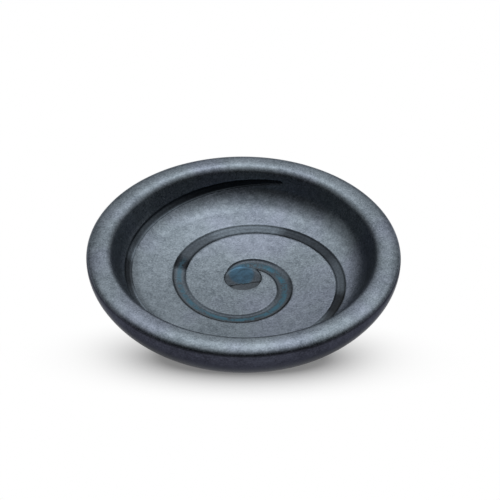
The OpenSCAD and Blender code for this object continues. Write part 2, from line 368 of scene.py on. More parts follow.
# %% [markdown]
# The lining of the channel is the glaze that was trailed into it, as a cook pipes cream along a groove.
# A curve with a bevel wouldn't keep square to the wall that it climbs, or change its form on the way.
# A Geometry Nodes tree does: it lays a cross-section along the path, one row of points for each degree of the turn,
# and looks up every point on the bowl's own skin. It makes the lining, and the cutter that opens the slate glaze.
# What it reads comes first: lines of points that carry numbers as attributes.


# %% Helpers for objects and lines
def new_object(name, mesh):
    made = bpy.data.objects.new(name, mesh)
    bpy.context.scene.collection.objects.link(made)
    return made


def line_object(name, points, closed=False, **numbers):
    """A line of points that carries named numbers or directions, for a tree to read."""
    mesh = bpy.data.meshes.new(name)
    edges = [(i, i + 1) for i in range(len(points) - 1)] + ([(len(points) - 1, 0)] if closed else [])
    mesh.from_pydata([tuple(p) for p in points], edges, [])
    for label, values in numbers.items():
        values = np.asarray(values, np.float32)
        kind, field = ("FLOAT_VECTOR", "vector") if values.ndim == 2 else ("FLOAT", "value")
        mesh.attributes.new(label, kind, "POINT").data.foreach_set(field, values.ravel())
    return new_object(name, mesh)


print("helpers: new_object, line_object")

# %% The bowl's line
BOWL_STEPS = 981
bowl_points = np.array([on_bowl(r) for r in np.linspace(0, FULL_RUN, BOWL_STEPS)])
bowl_curve = bpy.data.curves.new("bowl_line", "CURVE")
bowl_curve.dimensions = "3D"
spline = bowl_curve.splines.new("POLY")
spline.points.add(BOWL_STEPS - 1)
for point, (r, z, _, _) in zip(spline.points, bowl_points):
    point.co = (r, 0, z, 1)
bowl_line = new_object("bowl_line", bowl_curve)
print(len(spline.points), "points on the bowl's line")

# %% How the trailed glaze lies
# Each table holds turns in degrees and a share from 0 to 1: the teal thread along the bottom, how thick and dark
# the glaze is, with painted shade in the dark stretches along the foot of the wall and up it, how satin, and a painted
# shade line along the channel's outer edge.
THREAD = [(-144, 0.8), (-90, 0.9), (30, 1.0), (120, 0.9), (190, 0.6), (215, 0.0)]
LAID_AND_SHADE = [
    (-144, 0.5), (-60, 0.5), (0, 0.45), (60, 0.5), (90, 0.7), (140, 0.35), (192, 0.15), (197, 1.0), (206, 1.0),
    (213, 0.6), (242, 0.5), (251, 0.02), (292, 0.05), (301, 0.8), (338, 0.85), (348, 0.45), (370, 0.4),
    (377, 1.0), (390, 1.0), (400, 0.5), (430, 0.3), (500, 0.0), (522, 0.0), (532, 0.8), (547, 0.8), (552, 0.1),
    (557, 0.1), (561, 0.55), (574, 0.4), (592, 0.4), (606, 0.8), (625, 0.9),
]
SATIN = [(-144, 0.0), (90, 0.1), (180, 0.5), (215, 1.0), (648, 1.0)]
EDGE_SHADE_LINE = [
    (-144, 0.7), (-80, 0.7), (-40, 0.3), (-15, 0.05), (20, 0.1), (45, 0.8), (110, 0.75), (150, 0.4), (215, 0.0),
]
print("tables of", len(THREAD), len(LAID_AND_SHADE), len(SATIN), len(EDGE_SHADE_LINE), "rows")

# %% The path's line
# The first and the last station stand twice: at the outer ones the strip closes to a point.
stations = np.vstack([path[:1], path, path[-1:]])
openness = np.ones(len(stations))
openness[[0, -1]] = 0
station_degrees = np.concatenate([degrees[:1], degrees, degrees[-1:]])
shares = {
    label: np.interp(station_degrees, *zip(*table))
    for label, table in (("thread", THREAD), ("laid", LAID_AND_SHADE), ("satin", SATIN), ("edge_line", EDGE_SHADE_LINE))
}
path_line = line_object(
    "path_line", [(s[0], 0, 0) for s in stations], out=stations[:, 0], half=stations[:, 1], deep=stations[:, 2],
    turn=np.radians(station_degrees), open=openness, **shares,
)
print(len(stations), "stations along the channel")


# %% Helpers that read a line
def looked_up(line, index, name, kind="FLOAT"):
    """A named number or direction of a line's point, or its "position"."""
    value = add(tree_of(line), "GeometryNodeInputNamedAttribute", {"Name": name}, data_type=kind).outputs[0]
    links = {"Geometry": line, "Value": value, "Index": index}
    return add(tree_of(line), "GeometryNodeSampleIndex", links, data_type=kind, domain="POINT").outputs[0]


def points_in(geometry):
    return add(tree_of(geometry), "GeometryNodeAttributeDomainSize", {"Geometry": geometry}).outputs[0]


def made_of(given_object):
    """The geometry of an object that is given to the tree."""
    return add(tree_of(given_object), "GeometryNodeObjectInfo", {"Object": given_object}).outputs["Geometry"]


print("helpers: looked_up, points_in, made_of")


# %% Helpers for a grid and its points
def split(vector):
    return add(tree_of(vector), "ShaderNodeSeparateXYZ", {0: vector}).outputs


def counted_grid(rows, columns):
    """A grid, and each point's row and column in it."""
    rows_less, columns_less = (sums("SUBTRACT", count, 1) for count in (rows, columns))
    links = {"Size X": rows_less, "Size Y": columns_less, "Vertices X": rows, "Vertices Y": columns}
    grid = add(tree_of(rows), "GeometryNodeMeshGrid", links).outputs[0]
    x, y, _ = split(add(tree_of(rows), "GeometryNodeInputPosition").outputs[0])
    row = sums("ROUND", sums("MULTIPLY_ADD", rows_less, 0.5, x))
    column = sums("ROUND", sums("MULTIPLY_ADD", columns_less, 0.5, y))
    return grid, row, column


def turned_round(radius, height, angle):
    """A point of the outline, turned clockwise round the dish's axis."""
    x = sums("MULTIPLY", radius, sums("COSINE", angle))
    y = sums("MULTIPLY", radius, sums("MULTIPLY", sums("SINE", angle), -1))
    return add(tree_of(radius), "ShaderNodeCombineXYZ", {"X": x, "Y": y, "Z": height}).outputs[0]


def moved(geometry, places, **shares):
    """Stores named shares on a grid while its points can still be counted, and then moves them to their places."""
    tree = tree_of(geometry)
    for label, value in shares.items():
        links = {"Geometry": geometry, "Name": label, "Value": value}
        geometry = add(tree, "GeometryNodeStoreNamedAttribute", links, data_type="FLOAT", domain="POINT").outputs[0]
    return add(tree, "GeometryNodeSetPosition", {"Geometry": geometry, "Position": places}).outputs[0]


print("helpers: split, counted_grid, turned_round, moved")


# %% Helpers that begin, cut and end a tree
WELD = 1e-6  # metres within which points become one


def new_tree(name, inputs):
    """An empty geometry tree and its group input, whose sockets carry the given names."""
    tree = bpy.data.node_groups.new(name, "GeometryNodeTree")
    tree.interface.new_socket("Geometry", in_out="INPUT", socket_type="NodeSocketGeometry")
    for label, kind in inputs.items():
        tree.interface.new_socket(label, in_out="INPUT", socket_type="NodeSocket" + kind)
    tree.interface.new_socket("Geometry", in_out="OUTPUT", socket_type="NodeSocketGeometry")
    return tree, tree.nodes.new("NodeGroupInput").outputs


def cut_open(mesh, *cutters):
    """Closes a turned grid's seams, and gives it whole and with the cutters taken away."""
    tree = tree_of(mesh)
    whole = add(tree, "GeometryNodeMergeByDistance", {"Geometry": mesh, "Distance": WELD}).outputs[0]
    opened = add(tree, "GeometryNodeMeshBoolean", {"Mesh 1": whole}, operation="DIFFERENCE", solver="MANIFOLD")
    for cutter in cutters:
        tree.links.new(made_of(cutter), opened.inputs["Mesh 2"])
    return whole, opened.outputs[0]


def end_tree(geometry, material):
    """Every tree ends the same way: smooth, real geometry with its material."""
    tree = tree_of(geometry)
    smooth = add(tree, "GeometryNodeSetShadeSmooth", {"Geometry": geometry})
    real = add(tree, "GeometryNodeRealizeInstances", {"Geometry": smooth.outputs[0]})
    dressed = add(tree, "GeometryNodeSetMaterial", {"Geometry": real.outputs[0], "Material": material})
    add(tree, "NodeGroupOutput", {"Geometry": dressed.outputs[0]})


print("helpers: new_tree, cut_open, end_tree")

# %% The strip tree begins with a grid
strip_tree, given = new_tree("Strip along the channel", {
    "Path": "Object", "Bowl": "Object", "Eye cutter": "Object", "Cut the eye": "Bool", "Glaze": "Material",
})
section, along_path = given["Geometry"], made_of(given["Path"])
across_count = points_in(section)
grid, row, column = counted_grid(points_in(along_path), sums("ADD", across_count, 1))
corner = sums("FLOORED_MODULO", column, across_count)
share_x, share_y, _ = split(looked_up(section, corner, "position", "FLOAT_VECTOR"))
extra_x, extra_y, _ = split(looked_up(section, corner, "extra", "FLOAT_VECTOR"))
out, half, deep, turn, is_open, thread, laid, satin, edge_line = (
    looked_up(along_path, row, label)
    for label in ("out", "half", "deep", "turn", "open", "thread", "laid", "satin", "edge_line")
)
print("strip tree begun with", len(strip_tree.nodes), "nodes")

# %% The strip's points lie on the bowl
sideways = sums("MULTIPLY_ADD", share_x, half, extra_x)
upwards = sums("MULTIPLY_ADD", share_y, deep, extra_y)
closed_in = sums("MULTIPLY", sums("SUBTRACT", is_open, 1), sums("MULTIPLY", deep, 0.5))
along = sums("MULTIPLY_ADD", sideways, is_open, out)
raised = sums("MULTIPLY_ADD", upwards, is_open, closed_in)
sampled = add(
    strip_tree, "GeometryNodeSampleCurve",
    {"Curves": made_of(given["Bowl"]), "Length": along}, mode="LENGTH", use_all_curves=True,
)
skin_r, _, skin_z = split(sampled.outputs["Position"])
lean_r, _, lean_z = split(sampled.outputs["Tangent"])
point_r = sums("SUBTRACT", skin_r, sums("MULTIPLY", raised, lean_z))
point_z = sums("MULTIPLY_ADD", raised, lean_r, skin_z)
print("strip tree has", len(strip_tree.nodes), "nodes")

# %% The strip's shares, and the end of its tree
# The thread keeps to the bottom of the section, and the painted shade line to its outer side.
bottom = spread(sums("ABSOLUTE", share_x), 0.2, 0.52, to_low=1.0, to_high=0.0)
outer_shade_mask = spread(share_x, 0.66, 0.94)
strip = moved(
    grid, turned_round(point_r, point_z, turn),
    thread=sums("MULTIPLY", bottom, thread),
    laid=sums("ADD", laid, sums("MULTIPLY", outer_shade_mask, edge_line)), satin=satin,
)
whole, opened = cut_open(strip, given["Eye cutter"])
links = {"Switch": given["Cut the eye"], "False": whole, "True": opened}
chosen = add(strip_tree, "GeometryNodeSwitch", links, input_type="GEOMETRY")
end_tree(chosen.outputs[0], given["Glaze"])
print("strip tree ends with", len(strip_tree.nodes), "nodes")

# %% [markdown]
# The section of the lining. The tool left a channel with a broad bottom and sloping sides. The glaze in it stands
# level and fills part of it, so its own surface is shallower and flat nearly from side to side.
# A plain half ellipse would be quicker, but it mirrors the sky in one narrow line where the real one has a broad band.
# The section starts a little under the slate glaze's edge, which is rounded over, as it is on the real dish.

# %% Sections of the channel
BROW_DROP, BROW_W, OPEN_SHARE, BED_LAP = 0.05 * MM, 0.45 * MM, 0.55, 0.22 * MM
TOP_POINTS, BED_POINTS = 33, 17


def dip(share, power=3):
    """Depth of the channel across its width: a broad bottom and sides that slope."""
    return np.maximum(1 - np.abs(share) ** power, 0) ** 1.2


def level_dip(share):
    """The same for the glaze's own surface, which stands level and fills part of the channel."""
    return OPEN_SHARE * dip(share, power=5)


def hollow(count, lap, form):
    """Shares of the half width and depth across the channel, and a fixed widening at each point."""
    angles = np.linspace(0, math.pi, count)
    x = -np.cos(angles)
    lowered = -BROW_DROP * np.abs(np.cos(angles)) - np.sin(angles) * lap
    return np.stack([x, -form(x)], 1), np.stack([-np.cos(angles) * lap, lowered], 1)


top_shares, top_extras = hollow(TOP_POINTS, 0.0, level_dip)
bed_shares, bed_extras = hollow(BED_POINTS, BED_LAP, dip)
print(f"the glaze is {-top_shares[:, 1].min():.2f} of the channel's depth down")

# %% Closed sections for the lining and its cutter
CUT_RISE, CUT_DIP = 1.6 * MM, 1.6


def section_line(name, shares, extras):
    """A closed section whose points carry their fixed widening."""
    flat = np.zeros((len(shares), 1))
    return line_object(name, np.hstack([shares, flat]), closed=True, extra=np.hstack([extras, flat]))


lining_section = section_line(
    "lining_section", np.vstack([top_shares, bed_shares[::-1]]), np.vstack([top_extras, bed_extras[::-1]])
)
cut_shares = np.vstack([bed_shares[::-1], [[-1, 0], [1, 0]]])
cut_extras = np.vstack([bed_extras[::-1], [[0, CUT_RISE], [0, CUT_RISE]]])
cut_extras[[0, -3]] = 0, -CUT_DIP * BROW_DROP
cutter_section = section_line("cutter_section", cut_shares, cut_extras)
print("sections of", TOP_POINTS + BED_POINTS, "and", len(cut_shares), "points")

# %% [markdown]
# The eye is a round bowl at the spiral's start. The slate coat is open over it, and the lining ends at its edge.
# Two round edges would have to agree, so both are cut with the same plain disc, a ring that is filled and extruded.
# It is a hair smaller than the eye in the clay, so no clay shows at the edge.

# %% The eye's cutter
EYE_R, EYE_X, EYE_Y = 5.8 * MM, -0.15 * MM, 1.6 * MM
CUT_DOWN, CUT_UP, DISC_POINTS = 2.2 * MM, 2 * MM, 160
floor_z = DISH_H - BOWL_DEPTH
shape = bmesh.new()
ring = bmesh.ops.create_circle(shape, cap_ends=True, segments=DISC_POINTS, radius=EYE_R)["verts"]
bmesh.ops.translate(shape, verts=ring, vec=(EYE_X, EYE_Y, floor_z - CUT_DOWN))
raised_disc = bmesh.ops.extrude_face_region(shape, geom=shape.faces[:])["geom"]
raised_ring = [item for item in raised_disc if isinstance(item, bmesh.types.BMVert)]
bmesh.ops.translate(shape, verts=raised_ring, vec=(0, 0, CUT_UP + CUT_DOWN))
bmesh.ops.recalc_face_normals(shape, faces=shape.faces)
disc_mesh = bpy.data.meshes.new("eye_cutter")
shape.to_mesh(disc_mesh)
shape.free()
eye_cutter = new_object("eye_cutter", disc_mesh)
print("disc of", len(disc_mesh.vertices), "points")


# %% Helpers that grow and measure a piece
def grown(name, source, tree, values):
    """Runs a tree on an object, with its inputs set by their identifiers, and keeps the plain mesh."""
    modifier = source.modifiers.new("grow", "NODES")
    modifier.node_group = tree
    sockets = {s.name: s.identifier for s in tree.interface.items_tree if s.in_out == "INPUT"}
    for label, value in values.items():
        modifier[sockets[label]] = value
    source.update_tag()
    bpy.context.view_layer.update()
    ready = source.evaluated_get(bpy.context.evaluated_depsgraph_get())
    mesh = bpy.data.meshes.new_from_object(ready)
    source.modifiers.remove(modifier)
    mesh.name = name
    return new_object(name, mesh)


def report(piece):
    """Prints the size of a piece, and says whether it is closed and faces outwards."""
    shape = bmesh.new()
    shape.from_mesh(piece.data)
    open_edges = sum(1 for e in shape.edges if len(e.link_faces) != 2)
    triangles = sum(len(f.verts) - 2 for f in shape.faces)
    volume = shape.calc_volume(signed=True) / MM**3
    shape.free()
    print(f"{piece.name}: {triangles} triangles, {open_edges} open edges, {volume:.1f} mm3")


report(eye_cutter)

# %% The lining and its cutter
common = {"Path": path_line, "Bowl": bowl_line, "Eye cutter": eye_cutter}
channel_cutter = grown("channel_cutter", cutter_section, strip_tree, {**common, "Cut the eye": False})
channel_lining = grown(
    "channel_lining", lining_section, strip_tree, {**common, "Cut the eye": True, "Glaze": channel_gloss}
)
report(channel_cutter)
report(channel_lining)

# %% [markdown]
# The slate coat covers the bowl, the rim and the outside, and ends in a round bead above the foot.
# The Solidify modifier could lift it off a copy of the clay, but that has the solid's coarse triangles and sharp brows.
# It is turned on a grid instead, like clay on a wheel: rows go out over the floor, up the wall, over the rim and down
# to the foot, then back on the inside of the glaze. Close to the channel and the eye its surface sinks a little, which
# rounds the brow, and a wobble of a few hundredths of a millimetre keeps the reflections from looking machined.

# %% The coat's outline
GLAZE_T, BEAD_STEPS, BACK_ROWS = 0.4 * MM, 7, 26
FINE_FROM, FINE_TO, COARSE_FROM, ROW_STEP = 5.6 * MM, 45.8 * MM, 45.9 * MM, 0.34 * MM
runs = np.concatenate([
    np.linspace(0, FINE_FROM, 7)[:-1], np.arange(FINE_FROM, FINE_TO, ROW_STEP), np.linspace(COARSE_FROM, FULL_RUN, 12)
])
front = np.vstack([np.array([on_bowl(r) for r in runs]), outer])
end_point, end_facing = front[-1, :2], front[-1, 2:]
bead_middle, towards_foot = end_point - end_facing * GLAZE_T / 2, -np.abs(end_facing[::-1])
bead = [
    [*(bead_middle + GLAZE_T / 2 * (math.cos(a) * end_facing + math.sin(a) * towards_foot)), 0, 0]
    for a in np.linspace(0, math.pi, BEAD_STEPS)[1:-1]
]
back = np.vstack([np.array([on_bowl(r) for r in np.linspace(0, FULL_RUN, BACK_ROWS)]), outer[::2], outer[-1:]])
back[:, :2] -= GLAZE_T * back[:, 2:]
back[:, 0] = np.maximum(back[:, 0], 0)
rows = np.vstack([front, bead, back[::-1]])
print(len(rows), "rows in the coat's outline")

# %% What the outline's points carry
FAR = 1.0  # a run in metres that is far from any channel
# The outside's share tells the material where to paint shade over the bend, down the outside and on the underside.
BEND_TILT, BEND_OVER, UNDER_TILT, UNDER_OVER = 40, 45, 94, 30
tilts = np.degrees([math.atan2(point[2], point[3]) for point in outer])
outer_share = np.clip((tilts - BEND_TILT) / BEND_OVER, 0, 1) + np.clip((tilts - UNDER_TILT) / UNDER_OVER, 0, 1)
coat_line = line_object(
    "coat_line", [(r, 0, z) for r, z in rows[:, :2]],
    run=np.concatenate([runs, np.full(len(rows) - len(runs), FAR)]),
    outside=np.concatenate([np.zeros(len(runs)), outer_share, np.full(len(bead) + len(back), 2.0)]),
    outward=[(a, 0, b) for a, b in rows[:, 2:]],
)
print("the outside's share goes up to", outer_share.max())

# %% The coat tree begins
coat_tree, given = new_tree("Turned and carved coat", {
    "Segments": "Int", "Path": "Object", "Start degree": "Int", "End degree": "Int",
    "Eye radius": "Float", "Eye X": "Float", "Eye Y": "Float", "Brow drop": "Float", "Brow width": "Float",
    "Wobble": "Float", "Channel cutter": "Object", "Eye cutter": "Object", "Glaze": "Material",
})
outline, along_path = given["Geometry"], made_of(given["Path"])
grid, row, column = counted_grid(points_in(outline), sums("ADD", given["Segments"], 1))
line_r, _, line_z = split(looked_up(outline, row, "position", "FLOAT_VECTOR"))
face_r, _, face_z = split(looked_up(outline, row, "outward", "FLOAT_VECTOR"))
run, outside = (looked_up(outline, row, label) for label in ("run", "outside"))
degree = sums("DIVIDE", sums("MULTIPLY", column, 360.0), given["Segments"])
angle = sums("RADIANS", degree)
print("coat tree begun with", len(coat_tree.nodes), "nodes")

# %% How far each point of the coat is from an edge
BLEND = 0.5 * MM


def edge_of_turn(turn_number):
    """Distance from the channel's edge in one of its turns, or far away where that turn isn't there."""
    on_path = sums("ADD", degree, 360.0 * turn_number)
    index = sums("ADD", sums("SUBTRACT", on_path, given["Start degree"]), 1.0)
    middle, half = looked_up(along_path, index, "out"), looked_up(along_path, index, "half")
    gap = sums("SUBTRACT", sums("ABSOLUTE", sums("SUBTRACT", run, middle)), half)
    too_early = sums("LESS_THAN", on_path, given["Start degree"])
    too_late = sums("GREATER_THAN", on_path, given["End degree"])
    return sums("ADD", gap, sums("ADD", too_early, too_late))


before, first, second = (edge_of_turn(turn_number) for turn_number in (-1, 0, 1))
nearest = sums("MINIMUM", before, sums("MINIMUM", first, second))
flat_place = turned_round(line_r, 0.0, angle)
eye_place = add(coat_tree, "ShaderNodeCombineXYZ", {"X": given["Eye X"], "Y": given["Eye Y"]}).outputs[0]
from_eye = add(coat_tree, "ShaderNodeVectorMath", {0: flat_place, 1: eye_place}, operation="DISTANCE").outputs["Value"]
eye_gap = sums("SUBTRACT", from_eye, given["Eye radius"])
eye_gap = sums("ADD", eye_gap, sums("GREATER_THAN", run, FAR / 2))
edge_gap = sums("SMOOTH_MIN", nearest, eye_gap, BLEND)
print("coat tree has", len(coat_tree.nodes), "nodes")

# %% The coat sinks at the brow, wobbles and is opened
WAVES_PER_METRE = 85.0
drop = spread(edge_gap, 0.0, given["Brow width"], given["Brow drop"], 0.0, smooth=True)
uneven = grain(turned_round(line_r, line_z, angle), WAVES_PER_METRE, detail=1.0)
sunk = sums("MULTIPLY_ADD", uneven, given["Wobble"], drop)
final_r = sums("SUBTRACT", line_r, sums("MULTIPLY", sunk, face_r))
final_z = sums("SUBTRACT", line_z, sums("MULTIPLY", sunk, face_z))
# The shares outside and brow tell the material where to paint shade.
turned_coat = moved(
    grid, turned_round(final_r, final_z, angle),
    outside=outside, brow=sums("DIVIDE", drop, given["Brow drop"]),
)
outwards = add(coat_tree, "GeometryNodeFlipFaces", {"Mesh": turned_coat}).outputs[0]
_, opened = cut_open(outwards, given["Channel cutter"], given["Eye cutter"])
end_tree(opened, given["Glaze"])
print("coat tree ends with", len(coat_tree.nodes), "nodes")

# %% The slate coat
SEGMENTS, WOBBLE = 360, 0.05 * MM
slate_coat = grown("slate_coat", coat_line, coat_tree, {
    "Segments": SEGMENTS, "Path": path_line, "Start degree": START_DEGREE, "End degree": END_DEGREE,
    "Eye radius": EYE_R, "Eye X": EYE_X, "Eye Y": EYE_Y, "Brow drop": BROW_DROP, "Brow width": BROW_W,
    "Wobble": WOBBLE, "Channel cutter": channel_cutter, "Eye cutter": eye_cutter, "Glaze": slate_glaze,
})
report(slate_coat)

# %% [markdown]
# The pool in the eye. Its near side slopes gently, as the tool left it, down to a crisp line where the blue glaze
# begins. From there the glaze stands level up to the far side, and the channel leaves it on the right.
# Cutters would leave hard edges where these forms meet, and sculpting couldn't be run again from a script, so one
# function gives the depth at any place, and a round sheet of points takes its height from it.
# The part's own pool is plainer: flat, and 0.7 mm down where this one is 0.46 mm down.

# %% Depth of the glaze in the channel
POOL_DEPTH = 0.46 * MM


def smooth_step(value):
    value = np.clip(value, 0, 1)
    return value * value * (3 - 2 * value)


def smooth_max(a, b, blend):
    """The larger of two depths, blended where they are alike and both deep."""
    k = np.minimum(blend, np.minimum(a, b)) + 1e-9
    near = np.maximum(k - np.abs(a - b), 0) / k
    return np.maximum(a, b) + near**2 * k / 4


def channel_depth(x, y):
    """Depth of the glaze in the open channel at a place on the floor."""
    depth = np.zeros_like(x)
    radius, clockwise = np.hypot(x, y), np.degrees(np.arctan2(-y, x)) % 360
    for turn_number in (-1, 0):
        on_path = clockwise + 360 * turn_number
        middle, half, deep = (np.interp(on_path, degrees, path[:, k]) for k in range(3))
        share = np.clip(np.abs(radius - middle) / half, 0, 1)
        there = (on_path >= START_DEGREE) & (share < 1)
        depth = np.where(there, np.maximum(depth, deep * level_dip(share) + BROW_DROP * share), depth)
    return depth


right_x = path[-START_DEGREE, :1]
print(f"{right_x[0] / MM:.1f} mm right, the glaze is {channel_depth(right_x, 0 * right_x)[0] / MM:.2f} mm down")

# %% Depth of the glaze in the eye
NEAR_LINE_SLOPE, NEAR_LINE_Y, NEAR_DEPTH, NEAR_SOFT = 0.221, -0.856 * MM, 0.28 * MM, 0.32 * MM
FAR_WALL, FAR_POWER = 0.9 * MM, 2.2
WAVERS = ((0.10 * MM, 0.62 * MM, 0), (0.05 * MM, 0.27 * MM, 1))  # height, length and start of each wave


def past_line(x, y):
    """How far a place is behind the straight line along the blue glaze's near side."""
    return y - (NEAR_LINE_Y + NEAR_LINE_SLOPE * x)


def waver(x):
    """How the blue glaze wanders from that line."""
    return sum(high * np.sin(x / long + start) for high, long, start in WAVERS)


def eye_depth(x, y):
    """Depth of the eye: a gentle near side, then the level glaze and its steep far wall."""
    inside = np.maximum(EYE_R - np.hypot(x - EYE_X, y - EYE_Y), 0)
    behind = past_line(x, y) + waver(x)
    near = NEAR_DEPTH * inside / (inside + np.maximum(-behind, 0) + 1e-9)
    wall = (1 - (1 - np.clip(inside / FAR_WALL, 0, 1)) ** FAR_POWER) ** (1 / FAR_POWER)
    level = smooth_step(behind / NEAR_SOFT)
    return BROW_DROP + (near * (1 - level) + (POOL_DEPTH - BROW_DROP) * wall * level)


print(f"the eye's glaze is {eye_depth(np.array([EYE_X]), np.array([EYE_Y]))[0] / MM:.2f} mm down in the middle")

# %% The pool's points
ANGLES, RINGS, RING_POWER = 180, 64, 0.85
SIDE_DOWN, MIDDLE_DOWN = 1.5 * MM, 1.7 * MM
ring_shares = np.linspace(0, 1, RINGS + 1)[1:] ** RING_POWER
angle_list = np.linspace(0, 2 * math.pi, ANGLES, endpoint=False)
ring_r, ring_a = np.meshgrid(ring_shares * EYE_R, angle_list, indexing="ij")
flat_x = np.concatenate([[EYE_X], (EYE_X + ring_r * np.cos(ring_a)).ravel()])
flat_y = np.concatenate([[EYE_Y], (EYE_Y + ring_r * np.sin(ring_a)).ravel()])
floor_height = floor_z + FLOOR_R - np.sqrt(FLOOR_R**2 - flat_x**2 - flat_y**2)
open_depth = smooth_max(eye_depth(flat_x, flat_y), channel_depth(flat_x, flat_y), BLEND)
top = np.stack([flat_x, flat_y, floor_height - open_depth], 1)
under_ring = np.stack([
    EYE_X + EYE_R * np.cos(angle_list), EYE_Y + EYE_R * np.sin(angle_list), np.full(ANGLES, floor_z - SIDE_DOWN)
], 1)
vertices = np.vstack([top, under_ring, [[EYE_X, EYE_Y, floor_z - MIDDLE_DOWN]]])
print(len(vertices), "points, down to", round(open_depth.max() / MM, 2), "mm")

# %% The pool's mesh
faces = [(0, 1 + j, 1 + (j + 1) % ANGLES) for j in range(ANGLES)]
for a in range(1, 1 + RINGS * ANGLES, ANGLES):
    b = a + ANGLES
    faces += [(a + j, b + j, b + (j + 1) % ANGLES, a + (j + 1) % ANGLES) for j in range(ANGLES)]
faces += [(b + (j + 1) % ANGLES, b + j, len(vertices) - 1) for j in range(ANGLES)]
pool_mesh = bpy.data.meshes.new("eye_pool")
pool_mesh.from_pydata(vertices.tolist(), [], faces)
pool_mesh.materials.append(pool_gloss)
eye_pool = new_object("eye_pool", pool_mesh)
report(eye_pool)

# %% [markdown]
# The blue lies where the glaze is thickest, as a soft patch over the far part of the eye. A painted shade line follows
# the pool's near edge, along the step where the level glaze begins, and a thin teal one lies beside it. Nodes on Object
# coordinates could draw them, but the edge that they follow is only known here. So each point of both pieces gets its
# shares in code, and the material reads them.

# %% Where the glaze is blue
BLUE_X, BLUE_Y, BLUE_ACROSS, BLUE_BACK, BLUE_SOFT = -0.5 * MM, 3.6 * MM, 4.3 * MM, 4.9 * MM, 0.25 * MM
BLUE_FULL, BLUE_FADE = 0.72, 0.3


def note(mesh, name, values):
    """Stores a share for each point of a mesh."""
    found = mesh.attributes.get(name) or mesh.attributes.new(name, "FLOAT", "POINT")
    found.data.foreach_set("value", np.asarray(values, np.float32))


def points_of(mesh):
    """How far right and how far back each point of a mesh is."""
    places = np.empty(len(mesh.vertices) * 3, np.float32)
    mesh.vertices.foreach_get("co", places)
    return places.reshape(-1, 3).astype(float).T[:2]


def blue_patch(x, y):
    """How blue the glaze is at each place, from 0 to 1."""
    spread_out = np.hypot((x - BLUE_X) / BLUE_ACROSS, (y - BLUE_Y) / BLUE_BACK)
    return smooth_step(past_line(x, y) / BLUE_SOFT) * (1 - smooth_step((spread_out - BLUE_FULL) / BLUE_FADE))


note(channel_lining.data, "pooled", blue_patch(*points_of(channel_lining.data)))
x, y = points_of(eye_pool.data)
pooled = blue_patch(x, y)
print(f"blue from {pooled.min():.2f} to {pooled.max():.2f}")

# %% Lines along the pool's near edge
# The dark line is painted shade along the step where the level glaze begins.
TEAL_AT, TEAL_W, TEAL_FADE, SHADE_LINE_AT, SHADE_LINE_W, SHADE_LINE_MORE = 0.42 * MM, 0.2 * MM, 0.85, -0.04 * MM, 0.3 * MM, 0.5
THREAD_DEPTH, THREAD_SHARE = 0.6 * MM, 0.5
behind = past_line(x, y) + waver(x)
teal_line = np.exp(-(((behind - TEAL_AT) / TEAL_W) ** 2)) * smooth_step(pooled * 2)
shade_line = np.exp(-(((behind - SHADE_LINE_AT) / SHADE_LINE_W) ** 2))
in_channel = smooth_step(channel_depth(x, y) / THREAD_DEPTH)
note(eye_pool.data, "pooled", pooled * (1 - TEAL_FADE * teal_line))
note(eye_pool.data, "thread", np.maximum(THREAD_SHARE * in_channel, teal_line))
note(eye_pool.data, "laid", LAID_AND_SHADE[0][1] + SHADE_LINE_MORE * shade_line)
note(eye_pool.data, "satin", np.zeros(len(x)))
print((teal_line > 0.5).sum(), "points on the teal line,", (shade_line > 0.5).sum(), "on the dark one")

# %% [markdown]
# Crisp edges stay crisp where the glaze was cut, and everything else is shaded smooth. Flat shading would show the
# facets, and smooth shading all over would blur the cut edges, so an angle tells the two apart.
# Then each piece is tied to the dish's one body, and the solid that it stands for is hidden.

# %% Finish the pieces and tie them to the dish
CRISP_ANGLE = 50
for piece, node, slot in (
    (slate_coat, "slate_glaze_coat", "slate_glaze"),
    (channel_lining, "spiral_glaze", "channel_glaze"),
    (eye_pool, "eye_glaze_pool", "pool_glaze"),
):
    piece.data.polygons.foreach_set("use_smooth", [True] * len(piece.data.polygons))
    piece.data.set_sharp_from_angle(angle=math.radians(CRISP_ANGLE))
    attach(piece, "root")
    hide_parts(node)
for helper in (bowl_line, path_line, lining_section, cutter_section, coat_line, eye_cutter, channel_cutter):
    bpy.data.objects.remove(helper)
print("pieces tied:", slate_coat.name, channel_lining.name, eye_pool.name)

# %% [markdown]
# The camera looks down at the dish from the front with a long lens, so the rim is almost a true ellipse.
# Its distance, height and lens were fitted to the outline of the dish in the photograph.

# %% Camera
ELEVATION, DISTANCE, ROLL, TARGET_H = 39.3, 650 * MM, 0.45, 17.88 * MM
LENS, SHIFT_X, SHIFT_Y = 154.9, 0.0128, 0.0048
target = Vector((0, 0, TARGET_H))
away = Vector((0, -math.cos(math.radians(ELEVATION)), math.sin(math.radians(ELEVATION))))
camera = bpy.data.objects.new("camera", bpy.data.cameras.new("camera"))
bpy.context.scene.collection.objects.link(camera)
camera.data.sensor_width, camera.data.lens = 36, LENS
camera.data.shift_x, camera.data.shift_y = SHIFT_X, SHIFT_Y
camera.data.clip_start, camera.data.clip_end = 0.01, 10
turned_view = (-away).to_track_quat("-Z", "Y").to_matrix().to_4x4() @ Matrix.Rotation(math.radians(ROLL), 4, "Z")
camera.matrix_world = Matrix.Translation(target + away * DISTANCE) @ turned_view
bpy.context.scene.camera = camera
print("camera at", [round(v, 3) for v in camera.location])

# %% [markdown]
# The floor is white by itself, for the camera and for what the glaze mirrors, and gives the dish no light by that.
# A very bright lamp would whiten it too, but it would burn out the glaze. The dish's own shadow still shows on it.
# The soft shade in front of the dish, wide and shallow as in the photograph, is drawn where this whiteness fades.

